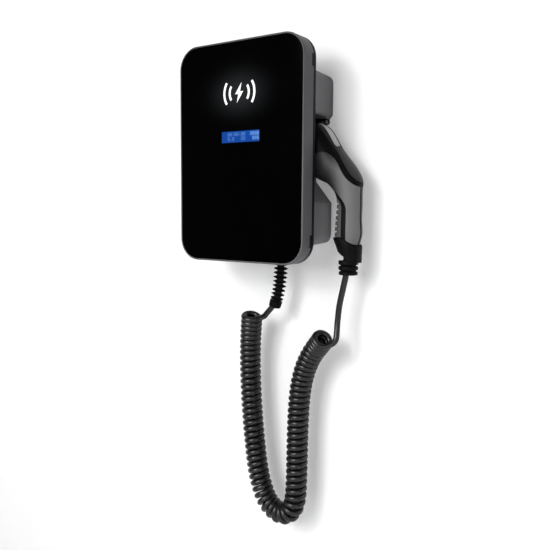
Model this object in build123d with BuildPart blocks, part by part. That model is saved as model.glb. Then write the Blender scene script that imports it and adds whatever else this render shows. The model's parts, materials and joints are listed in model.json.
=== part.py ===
from build123d import *

import os
from math import copysign, cos, pi, radians, sin, tan

# A wall box that charges a car: a slim cover with a gloss panel, a drafted housing behind it with a
# docking notch in its right side, and a charging connector on a curly cord. Millimetres. X is right
# as seen from the front, the wall is the plane Y = 0 and the front faces -Y, Z is up from the
# middle of the wall fixings.

# Depths from the wall
box_depth = 98.0
cover_depth = 24.0
joint_gap = 1.8
flange_thick = 4.2
wall_thick = 3.0
draft_angle = 3.5

# Front panel and the cover that carries it
panel_width = 222.0
panel_height = 319.0
panel_thick = 3.0
panel_radius = 31.0
panel_gap = 0.2
rim_width = 2.3
rim_proud = 0.5
rim_round = 1.2
cover_wall = 3.0
cover_face = 2.6

# Snap tabs on both long sides
snap_height = 18.0
snap_depth = 5.2
snap_rise = 124.5
snap_drop = 128.0
snap_clear = 0.4

# Display and status light, seen through windows in the panel
display_width = 69.0
display_height = 16.4
display_x = 3.6
display_z = 23.3
window_gap = 0.12
light_width = 68.0
light_height = 34.0
light_x = 1.5
light_z = 86.5

# Rear housing, measured at the wall
housing_step = 10.2
housing_top = 117.0
housing_bottom = -133.5
housing_radius = 12.0

# Docking notch in the right side, and the pocket in front of its rear web
notch_floor_x = 76.0
notch_floor_top = 26.0
notch_floor_bottom = -40.3
flank_angle = 50.0
flank_draft = 6.5
pocket_top = 55.0
pocket_web = 11.0
pocket_round = 9.0

# Wall fixings
fixing_spread_x = 170.0
fixing_spread_z = 190.0
fixing_hole = 6.6
fixing_boss = 16.0
fixing_boss_height = 8.0

# Connector and its holster
gun_y = -37.0
nose_z = 9.0
nose_diameter = 54.0
nose_length = 40.0
nose_wall = 2.6
socket_clear = 0.6
socket_wall = 1.8
socket_flange = 30.2
socket_flange_thick = 2.6
socket_depth = 44.0
nose_flat = 21.0
gun_skin = 2.4
skin_gap = 0.15
seam = 0.35
handle_x = 152.7
button_width = 19.0
button_gap = 0.35
button_travel = 2.0
button_sunk = 1.0

# Cord
cable_diameter = 8.3
curl_diameter = 34.0


def rounded_slab(width, height, radius, front, thick):
    """A slab with rounded corners, from the plane at depth front towards the viewer."""
    with BuildPart() as slab:
        with BuildSketch(Plane.XZ.offset(front)):
            RectangleRounded(width, height, radius)
        extrude(amount=thick)
    return slab.part


cover_width = panel_width + 2 * (panel_gap + rim_width)
cover_height = panel_height + 2 * (panel_gap + rim_width)
cover_radius = panel_radius + panel_gap + rim_width
housing_width = cover_width - 2 * housing_step
cover_back = box_depth - cover_depth
flange_back = cover_back - joint_gap - flange_thick
flange_front = cover_back - joint_gap
snap_heights = (snap_rise, -snap_drop)

# Front panel: gloss sheet with a window for the display
with BuildPart() as front_panel:
    add(rounded_slab(panel_width, panel_height, panel_radius, box_depth - panel_thick, panel_thick))
    fillet(front_panel.faces().sort_by(Axis.Y)[0].edges(), 0.4)
    with BuildSketch(Plane.XZ.offset(box_depth - panel_thick)):
        with Locations((display_x, display_z)):
            Rectangle(display_width, display_height)
    extrude(amount=panel_thick, mode=Mode.SUBTRACT)

with BuildPart() as display_window:
    with BuildSketch(Plane.XZ.offset(box_depth - panel_thick)):
        with Locations((display_x, display_z)):
            Rectangle(display_width - 2 * window_gap, display_height - 2 * window_gap)
    extrude(amount=panel_thick)

# Cover: a tray with a narrow rim round the panel and hollow behind it
bezel_margin = 4.0
boss_radius = 5.0
cover_screw_x = 92.0
cover_screw_top = 146.0
cover_screw_bottom = -149.0
cover_screw_spots = [
    (side * cover_screw_x, height) for side in (-1, 1) for height in (cover_screw_top, cover_screw_bottom)
]
screw_diameter = 4.0
screw_clear = 0.1
face_back = box_depth - panel_thick - cover_face

with BuildPart() as front_cover:
    with BuildSketch(Plane.XZ.offset(cover_back)):
        RectangleRounded(cover_width, cover_height, cover_radius)
    extrude(amount=cover_depth + rim_proud)
    fillet(front_cover.faces().sort_by(Axis.Y)[0].edges(), rim_round)
    with BuildSketch(Plane.XZ.offset(cover_back)):
        RectangleRounded(
            cover_width - 2 * cover_wall, cover_height - 2 * cover_wall, cover_radius - cover_wall
        )
    extrude(amount=face_back - cover_back, mode=Mode.SUBTRACT)
    with BuildSketch(Plane.XZ.offset(box_depth - panel_thick)):
        RectangleRounded(
            panel_width + 2 * panel_gap, panel_height + 2 * panel_gap, panel_radius + panel_gap
        )
    extrude(amount=panel_thick + rim_proud, mode=Mode.SUBTRACT)
    with BuildSketch(Plane.XZ.offset(face_back)):
        with Locations((display_x, display_z)):
            Rectangle(display_width + 2 * bezel_margin, display_height + 2 * bezel_margin)
        with Locations((light_x, light_z)):
            Rectangle(light_width, light_height)
    extrude(amount=cover_face, mode=Mode.SUBTRACT)
    # Notches that the snap tabs show through
    with BuildSketch(Plane.XZ.offset(cover_back)):
        with Locations(*[(side * cover_width / 2, z) for side in (-1, 1) for z in snap_heights]):
            Rectangle(4 * cover_wall, snap_height)
    extrude(amount=snap_depth, mode=Mode.SUBTRACT)
    # Screw bosses that reach back to the flange
    with BuildSketch(Plane.XZ.offset(flange_front)):
        with Locations(*cover_screw_spots):
            Circle(boss_radius)
    extrude(amount=face_back - flange_front)
    with BuildSketch(Plane.XZ.offset(flange_front)):
        with Locations(*cover_screw_spots):
            Circle(screw_diameter / 2 + screw_clear)
    extrude(amount=face_back - flange_front - 2, mode=Mode.SUBTRACT)

# Rubber seal in the shadow gap between cover and flange
seal_inset = 1.4
seal_width = 2.6
with BuildPart() as cover_seal:
    with BuildSketch(Plane.XZ.offset(flange_front)):
        RectangleRounded(
            cover_width - 2 * seal_inset, cover_height - 2 * seal_inset, cover_radius - seal_inset
        )
        inner = seal_inset + seal_width
        RectangleRounded(
            cover_width - 2 * inner, cover_height - 2 * inner, cover_radius - inner, mode=Mode.SUBTRACT
        )
        with Locations(*[(side * cover_width / 2, z) for side in (-1, 1) for z in snap_heights]):
            Rectangle(4 * cover_wall, snap_height, mode=Mode.SUBTRACT)
    extrude(amount=joint_gap)


def dock_section(depth, grow):
    """The notch's outline, seen from the front, at a depth from the wall and grown by a wall."""
    lean = tan(radians(flank_angle))
    edge = grow / cos(radians(flank_angle))
    draft = flank_draft * depth / (cover_back - joint_gap)
    left = notch_floor_x - grow
    right = cover_width / 2 + cover_wall
    top = notch_floor_top - draft + edge - lean * grow
    bottom = notch_floor_bottom + draft - edge + lean * grow
    rise = lean * (right - left)
    with BuildSketch(Plane.XZ.offset(depth)) as section:
        with BuildLine():
            Polyline(
                (left, bottom), (right, bottom - rise), (right, top + rise), (left, top), close=True
            )
        make_face()
    return section.sketch


def dock_cut(grow):
    """The space of the notch and of the pocket in front of its rear web, grown by a wall."""
    with BuildPart() as cut:
        loft([dock_section(0, grow), dock_section(flange_back + grow, grow)])
        with BuildSketch(Plane.YZ.offset(notch_floor_x - grow)):
            with BuildLine():
                low = notch_floor_bottom / 2
                back = -pocket_web + grow
                front = -flange_back - grow
                high = pocket_top + grow
                turn = pocket_round + grow
                Line((back, low), (back, high - turn))
                RadiusArc((back, high - turn), (back - turn, high), -turn)
                Line((back - turn, high), (front, high))
                Line((front, high), (front, low))
                Line((front, low), (back, low))
            make_face()
        extrude(amount=cover_width / 2 + cover_wall - notch_floor_x + grow)
    return cut.part


def housing_block(inset, start, end):
    """The drafted block of the housing, set in by a wall, between two depths from the wall."""
    spread = 2 * (start * tan(radians(draft_angle)) - inset)
    height = housing_top - housing_bottom + spread
    with BuildPart() as block:
        with BuildSketch(Plane.XZ.offset(start)):
            with Locations((0, (housing_top + housing_bottom) / 2)):
                RectangleRounded(housing_width + spread, height, housing_radius - inset + 1.0)
        extrude(amount=end - start, taper=-draft_angle)
    return block.part


gland_x = 37.0
gland_pad_radius = 18.0
gland_seat_z = housing_bottom - 5.0
gland_bore = 20.4
socket_barrel = nose_diameter / 2 + socket_clear + socket_wall
standoff_radius = 4.0
standoff_height = 12.0
board_width = 112.0
board_height = 84.0
board_x = -26.0
board_z = 66.0
board_hole_margin = 6.0
board_spots = [
    (
        board_x + i * (board_width / 2 - board_hole_margin),
        board_z + j * (board_height / 2 - board_hole_margin),
    )
    for i in (-1, 1)
    for j in (-1, 1)
]

with BuildPart() as housing_cavity:
    add(housing_block(wall_thick, wall_thick, flange_front))
    add(dock_cut(wall_thick), mode=Mode.SUBTRACT)

with BuildPart() as rear_housing:
    add(housing_block(0, 0, flange_back))
    with BuildSketch(Plane.XY.offset(gland_seat_z)):
        with Locations((gland_x, gun_y)):
            Circle(gland_pad_radius)
    extrude(amount=10)
    add(dock_cut(0), mode=Mode.SUBTRACT)
    add(housing_cavity.part, mode=Mode.SUBTRACT)
    # Bosses at the wall fixings and under the circuit board
    with BuildSketch(Plane.XZ):
        with GridLocations(fixing_spread_x, fixing_spread_z, 2, 2):
            Circle(fixing_boss / 2)
    extrude(amount=fixing_boss_height)
    with BuildSketch(Plane.XZ.offset(wall_thick)):
        with Locations(*board_spots):
            Circle(standoff_radius)
    extrude(amount=standoff_height - wall_thick)
    with BuildSketch(Plane.XZ):
        with GridLocations(fixing_spread_x, fixing_spread_z, 2, 2):
            Circle(fixing_hole / 2)
    extrude(amount=fixing_boss_height, mode=Mode.SUBTRACT)
    # Bores for the holster and the cord gland
    with BuildSketch(Plane.YZ.offset(notch_floor_x - 2 * wall_thick)):
        with Locations((gun_y, nose_z)):
            Circle(socket_barrel + skin_gap)
    extrude(amount=3 * wall_thick, mode=Mode.SUBTRACT)
    with BuildSketch(Plane.XY.offset(gland_seat_z)):
        with Locations((gland_x, gun_y)):
            Circle(gland_bore / 2)
    extrude(amount=14, mode=Mode.SUBTRACT)

# Flange round the housing's mouth, which carries the cover, with snap tabs in the cover's notches
with BuildPart() as rear_flange:
    add(rounded_slab(cover_width, cover_height, cover_radius, flange_back, flange_thick))
    add(housing_cavity.part, mode=Mode.SUBTRACT)
    with BuildSketch(Plane.XZ.offset(flange_back)):
        with Locations(*cover_screw_spots):
            Circle(screw_diameter / 2 + screw_clear)
    extrude(amount=flange_thick, mode=Mode.SUBTRACT)
    with BuildSketch(Plane.XZ.offset(flange_front)):
        with Locations(
            *[(side * (cover_width / 2 - cover_wall / 2 - 0.6), z) for side in (-1, 1) for z in snap_heights]
        ):
            Rectangle(cover_wall, snap_height - 2 * snap_clear)
    extrude(amount=joint_gap + snap_depth - snap_clear)

# Holster: a flanged cup in the notch's floor that takes the connector's nose
with BuildPart() as holster_socket:
    with BuildSketch(Plane.YZ.offset(notch_floor_x)):
        with Locations((gun_y, nose_z)):
            Circle(socket_flange)
    extrude(amount=socket_flange_thick)
    with BuildSketch(Plane.YZ.offset(notch_floor_x)):
        with Locations((gun_y, nose_z)):
            Circle(socket_barrel)
    extrude(amount=-socket_depth)
    with BuildSketch(Plane.YZ.offset(notch_floor_x + socket_flange_thick)):
        with Locations((gun_y, nose_z)):
            Circle(nose_diameter / 2 + socket_clear)
    extrude(amount=-socket_depth - socket_flange_thick + socket_wall, mode=Mode.SUBTRACT)

# Screws that hold the cover, driven from behind the flange
screw_head = 8.0
screw_head_thick = 3.0
screw_length = 14.0
cover_screws = []
for x, z in cover_screw_spots:
    with BuildPart() as cover_screw:
        with BuildSketch(Plane.XZ.offset(flange_back - screw_head_thick)):
            with Locations((x, z)):
                Circle(screw_head / 2)
        extrude(amount=screw_head_thick)
        with BuildSketch(Plane.XZ.offset(flange_back)):
            with Locations((x, z)):
                Circle(screw_diameter / 2)
        extrude(amount=screw_length)
    cover_screws.append(cover_screw.part)

# Display module behind its window
screen_thick = 1.2
frame_thick = 4.6
frame_rim = 2.6
board_thick = 1.6
display_back = box_depth - panel_thick - screen_thick
display_seat = display_back - frame_thick

with BuildPart() as display_screen:
    with BuildSketch(Plane.XZ.offset(display_back)):
        with Locations((display_x, display_z)):
            Rectangle(display_width + 2, display_height + 2)
    extrude(amount=screen_thick)

with BuildPart() as display_frame:
    with BuildSketch(Plane.XZ.offset(display_seat)):
        with Locations((display_x, display_z)):
            RectangleRounded(display_width + 2 * frame_rim, display_height + 2 * frame_rim, 1.2)
    extrude(amount=frame_thick)

with BuildPart() as display_board:
    with BuildSketch(Plane.XZ.offset(display_seat - board_thick)):
        with Locations((display_x, display_z)):
            Rectangle(display_width + 11, display_height + 20)
            with GridLocations(display_width + 5, display_height + 14, 2, 2):
                Circle(1.6, mode=Mode.SUBTRACT)
    extrude(amount=board_thick)

# Status light: a diffuser behind the panel, lit by a board with rows of lamps
diffuser_thick = 6.0
diffuser_skin = 2.4
diffuser_wall = 3.0
lamp_size = 5.0
lamp_height = 1.4
diffuser_back = box_depth - panel_thick - diffuser_thick
with BuildPart() as light_diffuser:
    with BuildSketch(Plane.XZ.offset(diffuser_back)):
        with Locations((light_x, light_z)):
            RectangleRounded(light_width - 2 * panel_gap, light_height - 2 * panel_gap, 1.0)
    extrude(amount=diffuser_thick)
    with BuildSketch(Plane.XZ.offset(diffuser_back)):
        with Locations((light_x, light_z)):
            Rectangle(light_width - 2 * diffuser_wall, light_height - 2 * diffuser_wall)
    extrude(amount=diffuser_thick - diffuser_skin, mode=Mode.SUBTRACT)

with BuildPart() as light_board:
    with BuildSketch(Plane.XZ.offset(diffuser_back - board_thick)):
        with Locations((light_x, light_z)):
            Rectangle(light_width + 8, light_height + 4)
    extrude(amount=board_thick)
    with BuildSketch(Plane.XZ.offset(diffuser_back)):
        with Locations((light_x, light_z)):
            with GridLocations(14, 13, 4, 2):
                Rectangle(lamp_size, lamp_size)
    extrude(amount=lamp_height)

# Circuit board on its standoffs, with relays above and a row of screw terminals below
with BuildPart() as main_board:
    with BuildSketch(Plane.XZ.offset(standoff_height)):
        with Locations((board_x, board_z)):
            RectangleRounded(board_width, board_height, 2)
        with Locations(*board_spots):
            Circle(1.7, mode=Mode.SUBTRACT)
    extrude(amount=board_thick)
    with BuildSketch(Plane.XZ.offset(standoff_height + board_thick)):
        with Locations((board_x, board_z + 12)):
            with GridLocations(26, 0, 3, 1):
                Rectangle(20, 28)
    extrude(amount=16)
    with BuildSketch(Plane.XZ.offset(standoff_height + board_thick)):
        with Locations((board_x, board_z - 24)):
            with GridLocations(10, 0, 8, 1):
                Rectangle(8, 12)
    extrude(amount=10)

# Mounting rail on the back wall with the switchgear hooked on it
rail_length = 150.0
rail_height = 35.0
rail_depth = 7.5
rail_sheet = 1.5
rail_lip = 5.0
rail_x = -18.0
rail_z = -42.0
rail_front = wall_thick + rail_depth
with BuildPart() as mounting_rail:
    with BuildSketch(Plane.YZ.offset(rail_x - rail_length / 2)):
        with Locations((-wall_thick - rail_sheet / 2, rail_z)):
            Rectangle(rail_sheet, rail_height - 2 * rail_lip)
        for side in (-1, 1):
            with Locations(
                (-wall_thick - rail_depth / 2, rail_z + side * (rail_height / 2 - rail_lip - rail_sheet / 2))
            ):
                Rectangle(rail_depth, rail_sheet)
            with Locations(
                (-rail_front + rail_sheet / 2, rail_z + side * (rail_height - rail_lip - rail_sheet) / 2)
            ):
                Rectangle(rail_sheet, rail_lip + rail_sheet)
    extrude(amount=rail_length)


def rail_device(left, width, height, depth, nose_height):
    """A switchgear block on the rail: a low back and a raised middle with its switch or terminals."""
    with BuildPart() as device:
        with BuildSketch(Plane.XZ.offset(rail_front)):
            with Locations((left + width / 2, rail_z)):
                Rectangle(width, height)
        extrude(amount=depth * 0.7)
        with BuildSketch(Plane.XZ.offset(rail_front + depth * 0.7)):
            with Locations((left + width / 2, rail_z)):
                Rectangle(width, nose_height)
        extrude(amount=depth * 0.3)
        # Rows of terminal pockets above and below
        with BuildSketch(Plane.XZ.offset(rail_front + depth * 0.7)):
            with Locations((left + width / 2, rail_z)):
                with GridLocations(width / 3, (height + nose_height) / 2, 3, 2):
                    Circle(2.6)
        extrude(amount=-5, mode=Mode.SUBTRACT)
    return device.part


contactor = rail_device(-88, 36, 80, 56, 40)
leakage_breaker = rail_device(-50, 36, 84, 58, 44)
power_supply = rail_device(-12, 34, 78, 48, 46)

with BuildPart() as terminal_block:
    with BuildSketch(Plane.XZ.offset(wall_thick)):
        with Locations((-30, -112)):
            Rectangle(60, 18)
    extrude(amount=24)
    with BuildSketch(Plane.XZ.offset(wall_thick + 24)):
        with Locations((-30, -112)):
            with GridLocations(11.5, 0, 5, 1):
                Circle(3.2)
    extrude(amount=-8, mode=Mode.SUBTRACT)

# Cord gland under the housing
gland_top_z = -128.0
gland_hex_flats = 30.0
gland_hex_thick = 8.5
gland_thread = 20.0
nut_flats = 27.0
nut_bottom_z = -164.0
nut_hex_bottom_z = -156.0
protector_core = 11.0
protector_top_z = -157.0
locknut_seat_z = -131.6
locknut_thick = 5.0
hex_bottom_z = gland_seat_z - gland_hex_thick


def gland_plane(height):
    """The level plane under the housing, centred on the cord gland."""
    return Plane(origin=(gland_x, gun_y, height), z_dir=(0, 0, 1))


with BuildPart() as gland_body:
    with BuildSketch(gland_plane(hex_bottom_z)):
        RegularPolygon(gland_hex_flats / 2, 6, major_radius=False)
    extrude(amount=gland_hex_thick)
    with BuildSketch(gland_plane(gland_seat_z)):
        Circle(gland_thread / 2)
    extrude(amount=gland_top_z - gland_seat_z)
    with BuildSketch(gland_plane(gland_top_z)):
        Circle(cable_diameter / 2 + 1)
    extrude(amount=hex_bottom_z - gland_top_z, mode=Mode.SUBTRACT)

with BuildPart() as gland_locknut:
    with BuildSketch(gland_plane(locknut_seat_z)):
        RegularPolygon(nut_flats / 2, 6, major_radius=False)
        Circle(gland_thread / 2 + skin_gap, mode=Mode.SUBTRACT)
    extrude(amount=locknut_thick)

with BuildPart() as gland_nut:
    with BuildSketch(gland_plane(nut_hex_bottom_z)):
        RegularPolygon(nut_flats / 2, 6, major_radius=False)
    extrude(amount=hex_bottom_z - nut_hex_bottom_z)
    with BuildSketch(gland_plane(nut_bottom_z)):
        Circle(nut_flats / 2)
    extrude(amount=nut_hex_bottom_z - nut_bottom_z)
    fillet(gland_nut.faces().sort_by(Axis.Z)[0].edges(), 3.0)
    with BuildSketch(gland_plane(nut_bottom_z)):
        Circle(protector_core / 2 + skin_gap)
    extrude(amount=hex_bottom_z - nut_bottom_z, mode=Mode.SUBTRACT)

# Ribbed bend protector, which curves with the cord and ends in a plain collar
rib_count = 9
rib_pitch = 6.8
rib_thick = 3.8
rib_slant = 62.0
rib_first = 9.5
rib_top_radius = 11.5
rib_end_radius = 10.2
collar_length = 10.2
collar_radius = 9.9
collar_taper = 3.0
collar_wall = 1.6
collar_recess = 2.2

with BuildPart() as bend_protector:
    with BuildLine(Plane.XZ.offset(-gun_y)) as protector_path:
        Line((gland_x, protector_top_z), (gland_x, -158))
        easy = JernArc((gland_x, -158), (0, -1), 305, -7)
        JernArc(easy @ 1, easy % 1, 165, -10.2)
    protector_wire = protector_path.wire()
    with BuildSketch(Plane(origin=protector_wire @ 0, z_dir=protector_wire % 0)):
        Circle(protector_core / 2)
    sweep(path=protector_wire)
    for number in range(rib_count):
        share = (rib_first + number * rib_pitch) / protector_wire.length
        radius = rib_top_radius + (rib_end_radius - rib_top_radius) * number / (rib_count - 1)
        with BuildSketch(Plane(origin=protector_wire @ share, z_dir=protector_wire % share)):
            Circle(radius)
        extrude(amount=rib_thick / 2, both=True, taper=rib_slant)

collar_end = protector_wire @ 1 + (protector_wire % 1) * collar_length
collar_end_radius = collar_radius - collar_length * tan(radians(collar_taper))
with BuildPart() as protector_collar:
    with BuildSketch(Plane(origin=protector_wire @ 1, z_dir=protector_wire % 1)):
        Circle(collar_radius)
    extrude(amount=collar_length, taper=collar_taper)
    fillet(protector_collar.edges().filter_by(GeomType.CIRCLE), 0.8)
    with BuildSketch(Plane(origin=collar_end, z_dir=protector_wire % 1)):
        Circle(collar_end_radius - collar_wall)
    extrude(amount=-collar_recess, mode=Mode.SUBTRACT)

# Connector body: oval sections along a centre line that bends down into the handle.
# Each station: x, z, turn from level in degrees, half height, half width.
stations = [
    (81.0, 9.7, 0.0, 32.2, 28.0),
    (88.5, 9.5, 7.0, 34.0, 28.2),
    (97.8, 7.0, 17.0, 36.6, 28.0),
    (110.5, -5.6, 35.0, 31.4, 27.5),
    (125.9, -22.0, 52.0, 26.8, 26.0),
    (138.5, -32.3, 63.0, 24.6, 24.0),
    (148.0, -44.5, 80.0, 24.0, 21.5),
    (151.2, -53.5, 85.0, 20.6, 20.0),
    (153.2, -63.0, 88.0, 18.3, 18.6),
    (153.8, -80.0, 90.0, 18.1, 17.0),
    (153.0, -100.0, 90.0, 19.0, 17.0),
    (152.7, -120.0, 90.0, 19.6, 17.3),
    (152.7, -140.0, 90.0, 19.6, 17.5),
]
boot_stations = [
    (152.5, -116.0, 90.0, 20.4, 18.3),
    (152.4, -127.0, 90.0, 20.4, 18.2),
    (154.3, -135.4, 90.0, 18.4, 17.8),
    (155.6, -144.0, 90.0, 17.0, 16.8),
    (156.5, -154.0, 90.0, 15.9, 16.2),
    (156.8, -163.0, 90.0, 15.2, 15.8),
]
core_face_x = stations[0][0]
oval_points = 16
oval_power = 2.25


def oval_form(rows, inset):
    """A smooth body through squarish ovals, set in from its outer skin."""
    sections = []
    for x, z, turn, half_height, half_width in rows:
        along = (cos(radians(turn)), 0, -sin(radians(turn)))
        across = (sin(radians(turn)), 0, cos(radians(turn)))
        points = []
        for number in range(oval_points):
            c = cos(2 * pi * number / oval_points)
            s = sin(2 * pi * number / oval_points)
            points.append(
                (
                    (half_height - inset) * copysign(abs(c) ** (2 / oval_power), c),
                    (half_width - inset) * copysign(abs(s) ** (2 / oval_power), s),
                )
            )
        with BuildSketch(Plane(origin=(x, gun_y, z), x_dir=across, z_dir=along)) as section:
            with BuildLine():
                Spline(*points, periodic=True)
            make_face()
        sections.append(section.sketch)
    with BuildPart() as form:
        loft(sections)
    return form.part


def side_prism(outline, start, end):
    """A region drawn in side view, run across the connector between two planes."""
    with BuildPart() as prism:
        with BuildSketch(Plane.XZ.offset(-gun_y - end)):
            add(outline)
        extrude(amount=end - start)
    return prism.part


def moved(points, right, up):
    """Points of a side view, all moved by the same step."""
    return [(x + right, z + up) for x, z in points]


def back_outline(gap):
    """Side view of the dark shell over the connector's back, with a gap left at its edge."""
    edge = moved(
        [
            (107.5, 38.0), (120.5, 24.0), (130.0, 11.5), (139.5, -0.5), (147.5, -12.0), (155.5, -24.0),
            (162.0, -33.3), (168.5, -40.5), (176.5, -47.5),
        ],
        0.8 * gap,
        0.6 * gap,
    )
    with BuildSketch() as outline:
        with BuildLine():
            Spline(*edge)
            Polyline(edge[-1], (190, edge[-1][1]), (190, 60), (edge[0][0], 60), edge[0])
        make_face()
    return outline.sketch


def inlay_outline(gap):
    """Side view of the grey inlay: it sweeps from under the nose to the back of the handle."""
    upper = moved(
        [
            (99.0, -22.0), (103.0, -11.0), (111.0, -4.0), (121.5, -0.8), (132.8, -5.0), (142.0, -14.0),
            (148.0, -23.5), (155.6, -36.0), (163.5, -44.3), (176.0, -52.4),
        ],
        0.4 * gap,
        -1.2 * gap,
    )
    lower = moved(
        [
            (156.6, -83.0), (153.8, -73.5), (147.9, -66.0), (136.5, -54.5), (126.5, -44.8), (115.0, -38.6),
            (103.0, -33.5), (94.0, -29.5),
        ],
        0.7 * gap,
        0.7 * gap,
    )
    with BuildSketch() as outline:
        with BuildLine():
            Spline(*upper)
            Polyline(upper[-1], (190, upper[-1][1]), (190, -160), (lower[0][0], -160), lower[0])
            Spline(*lower)
            Line(lower[-1], upper[0])
        make_face()
    return outline.sketch


def pad_outline(gap):
    """Side view of the grip pad on the inner side of the handle."""
    edge = moved(
        [(134.0, -60.0), (141.1, -65.4), (146.2, -70.5), (149.0, -76.0), (149.4, -83.0)],
        -0.7 * gap,
        -0.7 * gap,
    )
    with BuildSketch() as outline:
        with BuildLine():
            Polyline(edge[-1], (edge[-1][0], -160), (110, -160), (110, -62), edge[0])
            Spline(*edge)
        make_face()
    return outline.sketch


def boot_outline(drop):
    """Side view of all that lies below the boot's upper edge, lowered by a drop."""
    with BuildSketch() as outline:
        with BuildLine():
            Line((100, -121.5 - drop), (146, -121.5 - drop))
            Spline(
                (146, -121.5 - drop), (156, -125.2 - drop), (165, -130.9 - drop), (175, -133.4 - drop),
                tangents=((1, 0), (1, 0)),
            )
            Polyline(
                (175, -133.4 - drop), (200, -133.4 - drop), (200, -200), (100, -200),
                (100, -121.5 - drop),
            )
        make_face()
    return outline.sketch


reach = 60.0
spine_half = 2.6
gun_outer = oval_form(stations, 0)
below_boot_edge = side_prism(boot_outline(-seam), -reach, reach)
with BuildPart() as skin_shell:
    add(gun_outer)
    add(oval_form(stations, gun_skin - skin_gap), mode=Mode.SUBTRACT)
    add(below_boot_edge, mode=Mode.SUBTRACT)

# Release button let into the back of the connector: it slides in square to its chord
button_start = (105.0, 42.0)
button_end = (136.8, 8.0)
button_floor = 1.6
button_step = 2.6
button_length = ((button_end[0] - button_start[0]) ** 2 + (button_end[1] - button_start[1]) ** 2) ** 0.5
button_along = (
    (button_end[0] - button_start[0]) / button_length, 0, (button_end[1] - button_start[1]) / button_length,
)
button_normal = (-button_along[2], 0, button_along[0])
button_plane = Plane(
    origin=((button_start[0] + button_end[0]) / 2, gun_y, (button_start[1] + button_end[1]) / 2),
    x_dir=button_along,
    z_dir=button_normal,
)


def button_prism(grow, depth):
    """The button's outline grown by a gap, run out from a depth below its chord."""
    with BuildPart() as prism:
        with BuildSketch(button_plane.offset(-depth)):
            RectangleRounded(button_length + 2 * grow, button_width + 2 * grow, 3.0 + grow)
        extrude(amount=depth + 18)
    return prism.part


with BuildPart() as release_button:
    add(button_prism(0, button_floor))
    add(oval_form(stations, button_sunk), mode=Mode.INTERSECT)
    with BuildSketch(button_plane.offset(-button_floor)):
        with Locations((button_length / 2, 0)):
            Rectangle(2 * button_step, button_width / 3)
    extrude(amount=30, mode=Mode.SUBTRACT)
button_pocket = button_prism(button_gap, button_floor + button_travel + seam)

with BuildPart() as gun_back_shell:
    add(skin_shell.part)
    add(side_prism(back_outline(seam), -reach, reach), mode=Mode.INTERSECT)
    add(button_pocket, mode=Mode.SUBTRACT)


def gun_inlay(start, end):
    """One side's grey inlay, between two planes across the connector."""
    with BuildPart() as inlay:
        add(skin_shell.part)
        add(side_prism(inlay_outline(seam), start, end), mode=Mode.INTERSECT)
    return inlay.part


gun_inlay_front = gun_inlay(-reach, -spine_half)
gun_inlay_rear = gun_inlay(spine_half, reach)

groove_pitch = 8.0
groove_width = 2.4
groove_first_z = -74.0
groove_count = 6
groove_reach = 143.5
with BuildPart() as grip_pad:
    add(skin_shell.part)
    add(side_prism(pad_outline(seam), -reach, reach), mode=Mode.INTERSECT)
    with BuildSketch(Plane.XZ.offset(-gun_y - reach)):
        for number in range(groove_count):
            with Locations((groove_reach, groove_first_z - number * groove_pitch)):
                Rectangle(40, groove_width, align=(Align.MAX, Align.CENTER))
    extrude(amount=2 * reach, mode=Mode.SUBTRACT)

# Core under the skins: their recesses, a stub inside the boot, the button's pocket and its guard
stub_inset = 4.2
stub_end_z = -134.0
guard_half = 1.4
guard_eye = (114.4, 43.6)
guard_eye_radius = 2.8
guard_eye_rim = 1.6


def gun_stub(inset):
    """The foot of the core inside the boot, set in from the handle's outer skin."""
    with BuildPart() as stub:
        add(oval_form(stations, inset))
        with BuildSketch(Plane.XY.offset(stub_end_z)):
            with Locations((handle_x, gun_y)):
                Rectangle(80, 80)
        extrude(amount=-40, mode=Mode.SUBTRACT)
    return stub.part


def gun_recess(outline, start, end):
    """The space that a skin fills in the core, between two planes across the connector."""
    with BuildPart() as recess:
        add(gun_skin_space.part)
        add(side_prism(outline, start, end), mode=Mode.INTERSECT)
    return recess.part


with BuildPart() as gun_skin_space:
    add(gun_outer)
    add(oval_form(stations, gun_skin), mode=Mode.SUBTRACT)
    add(below_boot_edge, mode=Mode.SUBTRACT)

with BuildPart() as gun_core:
    add(gun_outer)
    add(gun_recess(back_outline(0), -reach, reach), mode=Mode.SUBTRACT)
    add(gun_recess(pad_outline(0), -reach, reach), mode=Mode.SUBTRACT)
    add(gun_recess(inlay_outline(0), -reach, seam - spine_half), mode=Mode.SUBTRACT)
    add(gun_recess(inlay_outline(0), spine_half - seam, reach), mode=Mode.SUBTRACT)
    add(side_prism(boot_outline(0), -reach, reach), mode=Mode.SUBTRACT)
    add(gun_stub(stub_inset))
    add(button_pocket, mode=Mode.SUBTRACT)
    # Fin over the button's upper end, so that a knock doesn't press it, with an eye for a padlock
    with BuildSketch(Plane.XZ.offset(-gun_y - guard_half)):
        Polygon((84, 48), (96, 50), (114.4, 48), (110, 44.6), (104, 44.6), (98, 30), (84, 30), align=None)
        with Locations(guard_eye):
            Circle(guard_eye_radius + guard_eye_rim)
            Circle(guard_eye_radius, mode=Mode.SUBTRACT)
    extrude(amount=2 * guard_half)

# Rubber boot over the foot of the handle, cut on a slant below
boot_bore = 15.4
boot_floor_z = -149.0
boot_gap = 0.9
boot_recess = 14.5
boot_recess_z = -155.1
relief_x = 153.5


def relief_plane(height):
    """The level plane at the cord's way out of the handle."""
    return Plane(origin=(relief_x, gun_y, height), z_dir=(0, 0, 1))


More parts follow.
